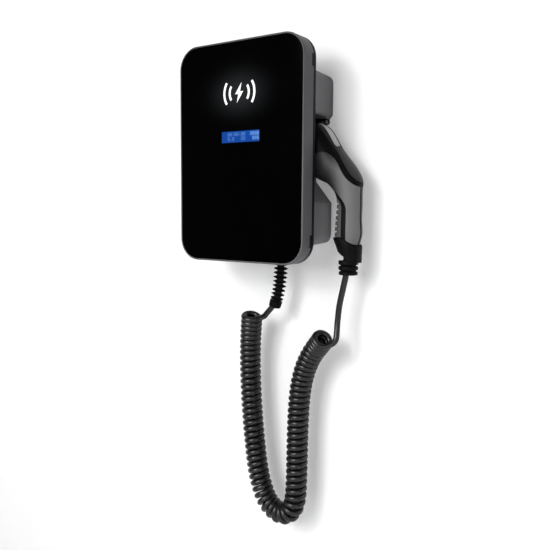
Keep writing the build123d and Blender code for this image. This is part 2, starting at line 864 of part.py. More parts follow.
with BuildPart() as gun_boot:
    add(oval_form(boot_stations, 0))
    add(side_prism(boot_outline(boot_gap), -reach, reach), mode=Mode.INTERSECT)
    add(gun_stub(stub_inset - skin_gap), mode=Mode.SUBTRACT)
    with BuildSketch(Plane.XZ.offset(-gun_y - reach)):
        with BuildLine():
            Line((120, -128.2), (164, -155.5))
            Spline((164, -155.5), (169, -158.2), (173.4, -156.8), (176.5, -151.5))
            Polyline((176.5, -151.5), (190, -151.5), (190, -200), (120, -200), (120, -128.2))
        make_face()
    extrude(amount=2 * reach, mode=Mode.SUBTRACT)
    with BuildSketch(relief_plane(boot_floor_z)):
        Circle(boot_bore / 2)
    extrude(amount=-20, mode=Mode.SUBTRACT)
    with BuildSketch(relief_plane(boot_recess_z)):
        Circle(boot_recess)
    extrude(amount=-20, mode=Mode.SUBTRACT)

# Strain relief below the boot: rings round a core, joined by upright webs
relief_core = 15.0
relief_end_z = -176.0
relief_rings = ((-155.4, -161.0, 14.2), (-163.6, -168.7, 14.2), (-171.2, -176.0, 13.6))
relief_rounding = 0.9
relief_webs = (-110, -20, 160)
relief_web = 6.0
relief_web_reach = 12.6
lead_in_exit_x = 150.2
lead_in_recess = 1.2
with BuildPart() as strain_relief:
    for high, low, radius in relief_rings:
        with BuildSketch(relief_plane(low)):
            Circle(radius)
        extrude(amount=high - low)
    fillet(strain_relief.edges().filter_by(GeomType.CIRCLE), relief_rounding)
    with BuildSketch(relief_plane(relief_end_z)):
        Circle(relief_core / 2)
    extrude(amount=boot_floor_z - relief_end_z)
    with BuildSketch(relief_plane(relief_end_z)):
        for angle in relief_webs:
            with Locations(Location((0, 0), angle - 90)):
                Rectangle(relief_web_reach, relief_web, align=(Align.MIN, Align.CENTER))
    extrude(amount=relief_rings[0][0] - relief_end_z)
    with BuildSketch(Plane(origin=(lead_in_exit_x, gun_y, relief_end_z), z_dir=(0, 0, 1))):
        Circle(cable_diameter / 2 + 1)
    extrude(amount=lead_in_recess, mode=Mode.SUBTRACT)

# Nose of the connector: a sleeve with a flat on top round the contact insert
insert_gap = 0.15
insert_depth = 8.0
contact_well = 30.0
contact_layout = [
    (-7.5, 12.5, 2.0), (7.5, 12.5, 2.0),
    (-15.0, 0.5, 3.0), (0.0, 0.5, 3.0), (15.0, 0.5, 3.0),
    (-8.0, -13.0, 3.0), (8.0, -13.0, 3.0),
]
well_margin = 1.6


def nose_prism(radius, flat, length):
    """A round bar with a flat on top, from the connector's face towards the holster."""
    with BuildPart() as bar:
        with BuildSketch(Plane(origin=(core_face_x, gun_y, nose_z), x_dir=(0, 1, 0), z_dir=(-1, 0, 0))):
            Circle(radius)
            with Locations((0, -flat)):
                Rectangle(2 * radius, radius, align=(Align.CENTER, Align.MAX), mode=Mode.SUBTRACT)
        extrude(amount=length)
    return bar.part


with BuildPart() as nose_sleeve:
    add(nose_prism(nose_diameter / 2, nose_flat, nose_length))
    fillet(nose_sleeve.faces().sort_by(Axis.X)[0].edges(), 1.0)
    add(nose_prism(nose_diameter / 2 - nose_wall, nose_flat - nose_wall, nose_length), mode=Mode.SUBTRACT)

insert_radius = nose_diameter / 2 - nose_wall - insert_gap
insert_flat = nose_flat - nose_wall - insert_gap
with BuildPart() as contact_insert:
    add(nose_prism(insert_radius, insert_flat, nose_length - insert_depth))
    with BuildSketch(Plane.YZ.offset(core_face_x - nose_length + insert_depth)):
        for y, z, radius in contact_layout:
            with Locations((gun_y + y, nose_z + z)):
                Circle(radius + well_margin)
    extrude(amount=contact_well, mode=Mode.SUBTRACT)

contacts = []
contact_tip = 2.0
for y, z, radius in contact_layout:
    with BuildPart() as contact:
        with BuildSketch(Plane.YZ.offset(core_face_x - nose_length + insert_depth + contact_tip)):
            with Locations((gun_y + y, nose_z + z)):
                Circle(radius)
        extrude(amount=contact_well - contact_tip)
        fillet(contact.faces().sort_by(Axis.X)[0].edges(), radius / 2)
    contacts.append(contact.part)


lead_straight = 8.0
lead_out_shift = 3.2
lead_out_turn = 40.0
lead_in_turn = 12.0


def cord_tube(points, diameter):
    """A round tube along straight runs joined by arcs as large as the runs allow."""
    radii = []
    for before, corner, after in zip(points, points[1:], points[2:]):
        first = Vector(*corner) - Vector(*before)
        second = Vector(*after) - Vector(*corner)
        half_turn = radians(first.get_angle(second)) / 2
        radii.append(0.45 * min(first.length, second.length) / tan(half_turn))
    print("bend radii", [round(radius) for radius in radii])
    with BuildPart() as tube:
        with BuildLine(Plane.XZ.offset(-gun_y)) as route:
            FilletPolyline(*points, radius=radii)
        wire = route.wire()
        with BuildSketch(Plane(origin=wire @ 0, z_dir=wire % 0)):
            Circle(diameter / 2)
        sweep(path=wire)
    print("volume", tube.part.volume, "section times length", pi * diameter**2 / 4 * wire.length)
    return tube.part


# Cord: a plain lead from the gland, a curled part shown by its outer tube, a lead to the handle
lead_start = collar_end - (protector_wire % 1).cross(Vector(0, 1, 0)) * lead_out_shift
lead_way = Vector(-sin(radians(lead_out_turn)), 0, -cos(radians(lead_out_turn)))
lead_bend = lead_start + lead_way * lead_straight
lead_out = cord_tube(
    [
        (lead_start.X, lead_start.Z), (lead_bend.X, lead_bend.Z), (10.5, -245.4), (3.0, -253.0),
        (-5.0, -261.0),
    ],
    cable_diameter,
)
curly_cord = cord_tube(
    [
        (-18.8, -251.0), (-20.4, -290.0), (-21.4, -330.0), (-18.9, -385.0), (-13.0, -448.0), (-4.5, -508.0),
        (8.8, -545.0), (24.0, -561.5), (43.0, -567.0), (59.5, -559.0), (67.6, -540.0), (69.4, -505.0),
        (70.0, -455.0), (70.8, -405.0), (74.0, -358.0), (82.0, -325.0), (94.0, -301.0), (112.5, -276.5),
    ],
    curl_diameter,
)
lead_in = cord_tube(
    [
        (lead_in_exit_x, relief_end_z),
        (
            lead_in_exit_x - lead_straight * sin(radians(lead_in_turn)),
            relief_end_z - lead_straight * cos(radians(lead_in_turn)),
        ),
        (144.8, -200.0), (139.8, -222.0), (137.6, -244.0), (136.4, -262.0), (133.6, -276.0),
        (124.0, -290.0),
    ],
    cable_diameter,
)

# Parts list, filled as the pieces are made
pieces = {
    "front_panel": front_panel.part,
    "display_window": display_window.part,
    "front_cover": front_cover.part,
    "cover_seal": cover_seal.part,
    "rear_housing": rear_housing.part,
    "rear_flange": rear_flange.part,
    "holster_socket": holster_socket.part,
    "display_screen": display_screen.part,
    "display_frame": display_frame.part,
    "display_board": display_board.part,
    "light_diffuser": light_diffuser.part,
    "light_board": light_board.part,
    "main_board": main_board.part,
    "mounting_rail": mounting_rail.part,
    "contactor": contactor,
    "leakage_breaker": leakage_breaker,
    "power_supply": power_supply,
    "terminal_block": terminal_block.part,
    "gland_body": gland_body.part,
    "gland_locknut": gland_locknut.part,
    "gland_nut": gland_nut.part,
    "bend_protector": bend_protector.part,
    "protector_collar": protector_collar.part,
    "gun_core": gun_core.part,
    "gun_back_shell": gun_back_shell.part,
    "gun_inlay_front": gun_inlay_front,
    "gun_inlay_rear": gun_inlay_rear,
    "grip_pad": grip_pad.part,
    "release_button": release_button.part,
    "gun_boot": gun_boot.part,
    "strain_relief": strain_relief.part,
    "nose_sleeve": nose_sleeve.part,
    "contact_insert": contact_insert.part,
    "lead_out": lead_out,
    "curly_cord": curly_cord,
    "lead_in": lead_in,
}
for number, part in enumerate(cover_screws, 1):
    pieces[f"cover_screw_{number}"] = part
for number, part in enumerate(contacts, 1):
    pieces[f"contact_{number}"] = part

os.makedirs("parts", exist_ok=True)
for name, part in pieces.items():
    part.label = name
    export_step(part, f"parts/{name}.step")
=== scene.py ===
"""Dresses the wall box: finishes, lit display and charge mark, curled cord, wall, lamps and camera."""

import json
import logging
import math
from dataclasses import dataclass, field
from enum import Enum

import bpy
import numpy as np
from mathutils import Matrix, Vector

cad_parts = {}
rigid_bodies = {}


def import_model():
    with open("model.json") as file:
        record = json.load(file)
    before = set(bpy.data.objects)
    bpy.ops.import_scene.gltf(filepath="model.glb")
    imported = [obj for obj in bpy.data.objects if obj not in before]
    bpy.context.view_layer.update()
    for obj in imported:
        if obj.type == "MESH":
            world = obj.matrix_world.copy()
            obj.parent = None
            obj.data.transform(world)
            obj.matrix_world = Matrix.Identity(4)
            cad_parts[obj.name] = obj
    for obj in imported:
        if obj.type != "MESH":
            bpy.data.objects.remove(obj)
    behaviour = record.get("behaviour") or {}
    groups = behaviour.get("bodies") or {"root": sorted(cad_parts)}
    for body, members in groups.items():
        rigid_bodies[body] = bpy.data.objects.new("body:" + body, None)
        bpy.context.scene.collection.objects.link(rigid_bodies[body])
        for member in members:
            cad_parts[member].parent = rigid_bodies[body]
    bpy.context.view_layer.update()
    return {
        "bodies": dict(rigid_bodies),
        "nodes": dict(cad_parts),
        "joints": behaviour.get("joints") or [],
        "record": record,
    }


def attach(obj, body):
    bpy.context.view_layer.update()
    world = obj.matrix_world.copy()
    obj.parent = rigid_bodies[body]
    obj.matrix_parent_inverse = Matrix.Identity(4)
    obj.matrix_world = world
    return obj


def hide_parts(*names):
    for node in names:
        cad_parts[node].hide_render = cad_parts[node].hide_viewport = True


log = logging.getLogger("wallbox")

MM = 0.001
FULL_TURN = 2 * math.pi
WHITE = (1.0, 1.0, 1.0, 1.0)
BLACK = (0.0, 0.0, 0.0, 1.0)

# The front of the panel as y, and the middle of the lit mark on it as x and z, in metres.
PANEL_FACE = -0.098
MARK_CENTRE = (0.0015, 0.0865)


class Surface(Enum):
    """How a finish meets the light: its share of metal and its share of clear body."""

    PLAIN = (0.0, 0.0)
    METAL = (1.0, 0.0)
    CLEAR = (0.0, 1.0)


def linear(colour: tuple[float, float, float]) -> tuple[float, float, float, float]:
    """Turns display values from 0 to 255 into linear light.

    Args:
        colour: red, green and blue as a screen shows them.

    Returns:
        The same colour as linear values with full alpha.
    """
    values = [c / 255 for c in colour]
    light = [v / 12.92 if v <= 0.04045 else ((v + 0.055) / 1.055) ** 2.4 for v in values]
    return (*light, 1.0)


def tinted(colour: tuple[float, ...], share: float, lift: float = 0.0,
           most: float = 1.0) -> tuple[float, ...]:
    """Makes a linear colour darker or lighter.

    Args:
        colour: red, green, blue and alpha as linear values.
        share: what its red, green and blue are multiplied by.
        lift: what is then added to them.
        most: the highest value that they may reach.

    Returns:
        The new colour with full alpha.
    """
    return (*(min(c * share + lift, most) for c in colour[:3]), 1.0)


def unit(rows: np.ndarray) -> np.ndarray:
    """Scales each row to the length one."""
    return rows / np.linalg.norm(rows, axis=1)[:, None]


def sampled(stops: np.ndarray, along: np.ndarray, rows: np.ndarray) -> np.ndarray:
    """Reads a line at other places than those it is given at.

    Args:
        stops: the distances at which it is read.
        along: the distances of its own rows, growing.
        rows: its x, y, z at those distances.

    Returns:
        One row of x, y, z for each stop.
    """
    return np.stack([np.interp(stops, along, rows[:, i]) for i in range(3)], -1)


def add_node(tree: bpy.types.NodeTree, kind: str, values: dict | None = None, **settings) -> bpy.types.Node:
    """Adds a shader node.

    Args:
        tree: the node tree that it joins.
        kind: its type, without the words that all shader node types begin with.
        values: inputs by name or number, with the values that they get.
        settings: the properties of the node itself.

    Returns:
        The new node.
    """
    made = tree.nodes.new(f"ShaderNode{kind}")
    for label, value in settings.items():
        setattr(made, label, value)
    for label, value in (values or {}).items():
        made.inputs[label].default_value = value
    return made


def new_material(name: str) -> tuple[bpy.types.Material, bpy.types.NodeTree, bpy.types.Node]:
    """Makes a material.

    Args:
        name: the material's name.

    Returns:
        The material, its node tree and its shader.
    """
    made = bpy.data.materials.new(name)
    made.use_nodes = True
    return made, made.node_tree, made.node_tree.nodes["Principled BSDF"]


class Groups:
    """Node groups that several finishes share, each built once."""

    CELL_SHARE = 0.6
    PATCHES_PER_METRE = 14.0
    MARK_STRETCH = (1.0, 1.0, 0.22)
    MARK_RANGE = (0.26, 0.42)
    WEAR_RANGE = (0.99, 0.8)

    @staticmethod
    def _new(name: str, inputs: dict[str, float], outputs: tuple[str, ...]) -> tuple:
        """Makes an empty group with its sockets.

        Args:
            name: the group's name.
            inputs: socket names with their usual values.
            outputs: the names of the values it puts out.

        Returns:
            The group, its input node and its output node.
        """
        group = bpy.data.node_groups.new(name, "ShaderNodeTree")
        for label, value in inputs.items():
            socket = group.interface.new_socket(label, in_out="INPUT", socket_type="NodeSocketFloat")
            socket.default_value = value
        for label in outputs:
            group.interface.new_socket(label, in_out="OUTPUT", socket_type="NodeSocketFloat")
        return group, group.nodes.new("NodeGroupInput"), group.nodes.new("NodeGroupOutput")

    @classmethod
    def grain(cls) -> bpy.types.ShaderNodeTree:
        """Moulded grain: fine cells for the bump and slow patches for the tone.

        Returns:
            The group, with the outputs Height and Tone.
        """
        found = bpy.data.node_groups.get("moulded_grain")
        if found:
            return found
        group, start, end = cls._new("moulded_grain", {"Scale": 1800.0}, ("Height", "Tone"))
        place = add_node(group, "TexCoord")
        cells = add_node(group, "TexVoronoi")
        fine = add_node(group, "TexNoise", {"Detail": 3.0})
        slow = add_node(group, "TexNoise", {"Scale": cls.PATCHES_PER_METRE, "Detail": 4.0})
        blend = add_node(group, "Math", {1: cls.CELL_SHARE}, operation="MULTIPLY_ADD")
        link = group.links.new
        for texture in (cells, fine, slow):
            link(place.outputs["Object"], texture.inputs["Vector"])
        for texture in (cells, fine):
            link(start.outputs["Scale"], texture.inputs["Scale"])
        link(cells.outputs["Distance"], blend.inputs[0])
        link(fine.outputs["Fac"], blend.inputs[2])
        link(blend.outputs[0], end.inputs["Height"])
        link(slow.outputs["Fac"], end.inputs["Tone"])
        return group

    @classmethod
    def handling(cls) -> bpy.types.ShaderNodeTree:
        """Dust and handling marks: sparse smears with a soft edge.

        Returns:
            The group, with the output Mask.
        """
        found = bpy.data.node_groups.get("handling_marks")
        if found:
            return found
        group, start, end = cls._new("handling_marks", {"Scale": 26.0, "Amount": 0.5}, ("Mask",))
        least, full = cls.MARK_RANGE
        place = add_node(group, "TexCoord")
        broad = add_node(group, "TexNoise", {"Detail": 5.0})
        streak = add_node(group, "TexNoise", {"Detail": 6.0})
        stretch = add_node(group, "Mapping", {"Scale": cls.MARK_STRETCH})
        both = add_node(group, "Math", operation="MULTIPLY")
        edge = add_node(group, "MapRange", {"From Min": least, "From Max": full})
        amount = add_node(group, "Math", operation="MULTIPLY")
        link = group.links.new
        link(place.outputs["Object"], broad.inputs["Vector"])
        link(place.outputs["Object"], stretch.inputs["Vector"])
        link(stretch.outputs["Vector"], streak.inputs["Vector"])
        link(start.outputs["Scale"], broad.inputs["Scale"])
        link(start.outputs["Scale"], streak.inputs["Scale"])
        link(broad.outputs["Fac"], both.inputs[0])
        link(streak.outputs["Fac"], both.inputs[1])
        link(both.outputs[0], edge.inputs["Value"])
        link(edge.outputs["Result"], amount.inputs[0])
        link(start.outputs["Amount"], amount.inputs[1])
        link(amount.outputs[0], end.inputs["Mask"])
        return group

    @classmethod
    def edges(cls) -> bpy.types.ShaderNodeTree:
        """Worn edges: where the surface turns away from the direction that a rounded edge would have.

        Returns:
            The group, with the output Mask.
        """
        found = bpy.data.node_groups.get("worn_edges")
        if found:
            return found
        group, start, end = cls._new("worn_edges", {"Reach": 0.0006, "Amount": 0.5}, ("Mask",))
        least, full = cls.WEAR_RANGE
        rounded = add_node(group, "Bevel", samples=4)
        surface = add_node(group, "NewGeometry")
        match = add_node(group, "VectorMath", operation="DOT_PRODUCT")
        turn = add_node(group, "MapRange", {"From Min": least, "From Max": full})
        amount = add_node(group, "Math", operation="MULTIPLY")
        link = group.links.new
        link(start.outputs["Reach"], rounded.inputs["Radius"])
        link(rounded.outputs["Normal"], match.inputs[0])
        link(surface.outputs["Normal"], match.inputs[1])
        link(match.outputs["Value"], turn.inputs["Value"])
        link(turn.outputs["Result"], amount.inputs[0])
        link(start.outputs["Amount"], amount.inputs[1])
        link(amount.outputs[0], end.inputs["Mask"])
        return group

    @classmethod
    def painted_shade(cls) -> bpy.types.ShaderNodeTree:
        """Painted shade: a slow darkening of colour along one direction of the part, standing in for less
        light falling there.

        Returns:
            The group, with the output Share: the darkest share at Dark, and one at Full.
        """
        found = bpy.data.node_groups.get("painted_shade_ramp")
        if found:
            return found
        inputs = {"Along X": 1.0, "Along Z": 0.0, "Dark": 0.0, "Full": 1.0, "Darkest": 0.5}
        group, start, end = cls._new("painted_shade_ramp", inputs, ("Share",))
        place = add_node(group, "TexCoord")
        axis = add_node(group, "CombineXYZ")
        along = add_node(group, "VectorMath", operation="DOT_PRODUCT")
        share = add_node(group, "MapRange", interpolation_type="SMOOTHSTEP")
        link = group.links.new
        link(start.outputs["Along X"], axis.inputs["X"])
        link(start.outputs["Along Z"], axis.inputs["Z"])
        link(place.outputs["Object"], along.inputs[0])
        link(axis.outputs["Vector"], along.inputs[1])
        link(along.outputs["Value"], share.inputs["Value"])
        link(start.outputs["Dark"], share.inputs["From Min"])
        link(start.outputs["Full"], share.inputs["From Max"])
        link(start.outputs["Darkest"], share.inputs["To Min"])
        link(share.outputs["Result"], end.inputs["Share"])
        return group


@dataclass(frozen=True)
class PaintedShade:
    """Painted shade: how a finish darkens along the part, standing in for less light falling there.

    The direction is given as x and z, the places where it is darkest and where it is full as distances along
    that direction, and darkest is the share of its colour that is left there.
    """

    along: tuple[float, float]
    dark: float
    full: float
    darkest: float

    def apply(self, tree: bpy.types.NodeTree, colour: bpy.types.NodeSocket) -> bpy.types.NodeSocket:
        """Darkens a colour with painted shade.

        Args:
            tree: the material's node tree.
            colour: the socket that gives the full colour.

        Returns:
            The socket that gives the colour with its painted shade.
        """
        values = {
            "Along X": self.along[0],
            "Along Z": self.along[1],
            "Dark": self.dark,
            "Full": self.full,
            "Darkest": self.darkest,
        }
        share = add_node(tree, "Group", values, node_tree=Groups.painted_shade())
        scaled = add_node(tree, "VectorMath", operation="SCALE")
        tree.links.new(colour, scaled.inputs[0])
        tree.links.new(share.outputs["Share"], scaled.inputs["Scale"])
        return scaled.outputs["Vector"]


@dataclass(frozen=True)
class Finish:
    """One finish: its colour, gloss, grain, the marks of use and, where given, painted shade."""

    name: str
    colour: tuple[float, float, float]
    surface: Surface = Surface.PLAIN
    roughness: float = 0.5
    specular: float = 0.5
    grain_scale: float = 1800.0
    grain_depth: float = 0.03
    grain_strength: float = 0.35
    tone_spread: float = 0.1
    marks: float = 0.25
    mark_roughness: float = 0.18
    coat: float = 0.0
    coat_roughness: float = 0.08
    edge_wear: float = 0.35
    # painted shade along the part, if the finish has it
    painted_shade: PaintedShade | None = None

    def _colour(self, tree: bpy.types.NodeTree, tone: bpy.types.NodeSocket,
                marks: bpy.types.NodeSocket) -> bpy.types.NodeSocket:
        """Builds the colour: patches of tone, paler where marked, paler still where edges are rubbed, then
        darkened by painted shade where the finish has it.

        Args:
            tree: the material's node tree.
            tone: the socket with the patches of tone.
            marks: the socket with the mask of the marks.

        Returns:
            The socket that gives the colour.
        """
        base = linear(self.colour)
        spread = {"A": tinted(base, 1 - self.tone_spread), "B": tinted(base, 1 + self.tone_spread)}
        toned = add_node(tree, "Mix", spread, data_type="RGBA")
        worn = add_node(tree, "Mix", {"B": tinted(base, 1.25, 0.004)}, data_type="RGBA")
        rubbed = add_node(tree, "Mix", {"B": tinted(base, 1.7, 0.01)}, data_type="RGBA")
        edges = add_node(tree, "Group", {"Amount": self.edge_wear}, node_tree=Groups.edges())
        link = tree.links.new
        link(tone, toned.inputs["Factor"])
        link(toned.outputs["Result"], worn.inputs["A"])
        link(marks, worn.inputs["Factor"])
        link(worn.outputs["Result"], rubbed.inputs["A"])
        link(edges.outputs["Mask"], rubbed.inputs["Factor"])
        colour = rubbed.outputs["Result"]
        # painted shade darkens the colour here, where the finish has it
        return self.painted_shade.apply(tree, colour) if self.painted_shade else colour

    def material(self) -> bpy.types.Material:
        """Builds the finish, or returns it if it is there already.

        Returns:
            The material with its grain, tone, marks, worn edges and any painted shade wired in.
        """
        title = f"{self.name}_finish"
        found = bpy.data.materials.get(title)
        if found:
            return found
        made, tree, shader = new_material(title)
        metal, clear = self.surface.value
        shader.inputs["Metallic"].default_value = metal
        shader.inputs["Transmission Weight"].default_value = clear
        shader.inputs["Specular IOR Level"].default_value = self.specular
        shader.inputs["Coat Weight"].default_value = self.coat
        shader.inputs["Coat Roughness"].default_value = self.coat_roughness
        grain = add_node(tree, "Group", {"Scale": self.grain_scale}, node_tree=Groups.grain())
        marks = add_node(tree, "Group", {"Amount": self.marks}, node_tree=Groups.handling())
        dullest = min(self.roughness + self.mark_roughness, 1.0)
        rough = add_node(tree, "MapRange", {"To Min": self.roughness, "To Max": dullest})
        bump = add_node(tree, "Bump", {"Strength": self.grain_strength, "Distance": self.grain_depth * MM})
        link = tree.links.new
        link(self._colour(tree, grain.outputs["Tone"], marks.outputs["Mask"]), shader.inputs["Base Color"])
        link(marks.outputs["Mask"], rough.inputs["Value"])
        link(rough.outputs["Result"], shader.inputs["Roughness"])
        link(grain.outputs["Height"], bump.inputs["Height"])
        link(bump.outputs["Normal"], shader.inputs["Normal"])
        return made


@dataclass(frozen=True)
class Glow:
    """A lit surface: an even light with slow patches, a little darker and a little brighter."""

    name: str
    colour: tuple[float, float, float]
    strength: float = 1.0
    patch_depth: float = 0.12
    body_share: float = 0.1
    roughness: float = 0.4

    def material(self) -> bpy.types.Material:
        """Builds the lit material.

        Returns:
            A dark body with its patched light.
        """
        made, tree, shader = new_material(self.name)
        base = linear(self.colour)
        shader.inputs["Base Color"].default_value = tinted(base, self.body_share)
        shader.inputs["Roughness"].default_value = self.roughness
        shader.inputs["Emission Strength"].default_value = self.strength
        grain = add_node(tree, "Group", node_tree=Groups.grain())
        spread = {
            "A": tinted(base, 1 - self.patch_depth),
            "B": tinted(base, 1 + self.patch_depth, most=2.0),
        }
        light = add_node(tree, "Mix", spread, data_type="RGBA")
        tree.links.new(grain.outputs["Tone"], light.inputs["Factor"])
        tree.links.new(light.outputs["Result"], shader.inputs["Emission Color"])
        return made


class Maker:
    """Turns arrays of points into finished flat pieces."""

    @staticmethod
    def piece(name: str, points: np.ndarray, faces: np.ndarray,
              finish: bpy.types.Material) -> bpy.types.Object:
        """Puts points and faces into a mesh object at the origin.

        Args:
            name: the piece's name.
            points: one row of x, y, z in metres for each vertex.
            faces: one row of four vertex numbers for each face.
            finish: its material.

        Returns:
            The new object, linked to the scene.
        """
        mesh = bpy.data.meshes.new(name)
        mesh.from_pydata(points.reshape(-1, 3).tolist(), [], faces.tolist())
        mesh.materials.append(finish)
        mesh.update()
        made = bpy.data.objects.new(name, mesh)
        bpy.context.collection.objects.link(made)
        return made

    @staticmethod
    def grid_faces(rows: int, columns: int) -> np.ndarray:
        """Quads between the neighbours of a grid of points.

        Args:
            rows: how many rows of points there are.
            columns: how many points are in a row.

        Returns:
            One row of four vertex numbers for each quad.
        """
        i, j = np.meshgrid(np.arange(rows - 1), np.arange(columns - 1), indexing="ij")
        first = i * columns + j
        quads = np.stack([first, first + 1, first + columns + 1, first + columns], -1)
        return quads.reshape(-1, 4)

    @staticmethod
    def tiles(name: str, low: np.ndarray, high: np.ndarray, depth: float,
              finish: bpy.types.Material) -> bpy.types.Object:
        """Flat tiles that face the viewer, each a rectangle between two corners.

        Args:
            name: the piece's name.
            low: one row of x, z for the low corner of each tile.
            high: one row of x, z for the high corner of each tile.
            depth: the plane they lie in, as y.
            finish: their material.

        Returns:
            One object with all the tiles.
        """
        x = np.stack([low[:, 0], high[:, 0], high[:, 0], low[:, 0]], -1)
        z = np.stack([low[:, 1], low[:, 1], high[:, 1], high[:, 1]], -1)
        points = np.stack([x, np.full_like(x, depth), z], -1)
        return Maker.piece(name, points, np.arange(points.shape[0] * 4).reshape(-1, 4), finish)

    @staticmethod
    def ribbon(line: np.ndarray, width: float) -> tuple[np.ndarray, np.ndarray]:
        """A flat stroke of even width along a line in the x-z plane.

        Each point of the line is moved half a width both ways, square to the line.

        Args:
            line: one row of x, z for each point of the stroke's middle.
            width: the stroke's width.

        Returns:
            The points as x, z and the quads between them.
        """
        step = unit(np.gradient(line, axis=0))
        side = np.stack([-step[:, 1], step[:, 0]], -1) * width / 2
        points = np.stack([line - side, line + side], 1)
        return points.reshape(-1, 2), Maker.grid_faces(len(line), 2)


@dataclass
class ChargeMark:
    """The lit mark above the display: a bolt between two pairs of arcs, a plain sign for power."""

    centre: tuple[float, float] = MARK_CENTRE
    height: float = 0.029
    stroke: float = 0.0036
    arc_radii: tuple[float, float] = (0.0175, 0.0275)
    arc_half_angle: float = 34.0
    arc_points: int = 25
    lift: float = 0.00012

    def _bolt(self) -> np.ndarray:
        """The bolt's outline as two slanted quads that meet in its middle.

        Returns:
            Eight points as x, z, four for each quad.
        """
        shape = np.array([
            [0.30, 1.0], [-0.52, -0.12], [-0.02, -0.12], [0.12, 0.16],
            [-0.30, -1.0], [0.52, 0.12], [0.02, 0.12], [-0.12, -0.16],
        ])
        return shape * self.height / 2

    def build(self) -> bpy.types.Object:
        """Joins the bolt and the arcs into one thin lit sheet on the panel.

        Returns:
            The mark as one object.
        """
        points = [self._bolt()]
        faces = [np.arange(8).reshape(2, 4)]
        count = 8
        sweep = np.linspace(-1, 1, self.arc_points) * math.radians(self.arc_half_angle)
        for side in (0.0, math.pi):
            for radius in self.arc_radii:
                line = radius * np.stack([np.cos(sweep + side), np.sin(sweep + side)], -1)
                edge, quads = Maker.ribbon(line, self.stroke)
                points.append(edge)
                faces.append(quads + count)
                count += len(edge)
        flat = np.concatenate(points) + self.centre
        placed = np.insert(flat, 1, PANEL_FACE - self.lift, axis=1)
        glow = Glow("charge_mark_light", (255, 255, 255), strength=1.15, patch_depth=0.02).material()
        made = Maker.piece("charge_mark", placed, np.concatenate(faces), glow)
        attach(made, "wallbox")
        return made


@dataclass
class Display:
    """What the lit display shows: two rows of dotted figures, a clock and a meter at nought."""

    centre_x: float = 0.0036
    centre_z: float = 0.0233
    dot: float = 0.00062
    pitch: float = 0.00074
    cell: float = 0.0041
    rows: tuple[str, ...] = ("  00:00:00  ====", "  0.0   00   ===")
    row_gap: float = 0.0066
    depth: float = -0.09504
    figures: dict[str, tuple[int, ...]] = field(default_factory=lambda: {
        "0": (14, 17, 19, 21, 25, 17, 14),
        ":": (0, 4, 4, 0, 4, 4, 0),
        ".": (0, 0, 0, 0, 0, 12, 12),
        "=": (31, 31, 31, 31, 31, 31, 31),
        " ": (0, 0, 0, 0, 0, 0, 0),
    })

    def build(self) -> bpy.types.Object:
        """Lays out the dots: each figure is seven rows of five dots, read from the bits of seven numbers.

        Returns:
            All the lit dots as one object.
        """
        corners = []
        for line, text in enumerate(self.rows):
            top = self.centre_z + self.row_gap * (0.5 - line) + 3.5 * self.pitch
            left = self.centre_x - len(text) * self.cell / 2
            codes = np.array([self.figures[letter] for letter in text])
            bits = (codes[:, :, None] >> np.arange(4, -1, -1)) & 1
            place, row, column = np.nonzero(bits)
            x = left + place * self.cell + column * self.pitch
            z = top - row * self.pitch
            corners.append(np.stack([x, z], -1))
        low = np.concatenate(corners)
        glow = Glow("display_dots", (92, 150, 225), patch_depth=0.05).material()
        made = Maker.tiles("display_figures", low, low + self.dot, self.depth, glow)
        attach(made, "wallbox")
        return made


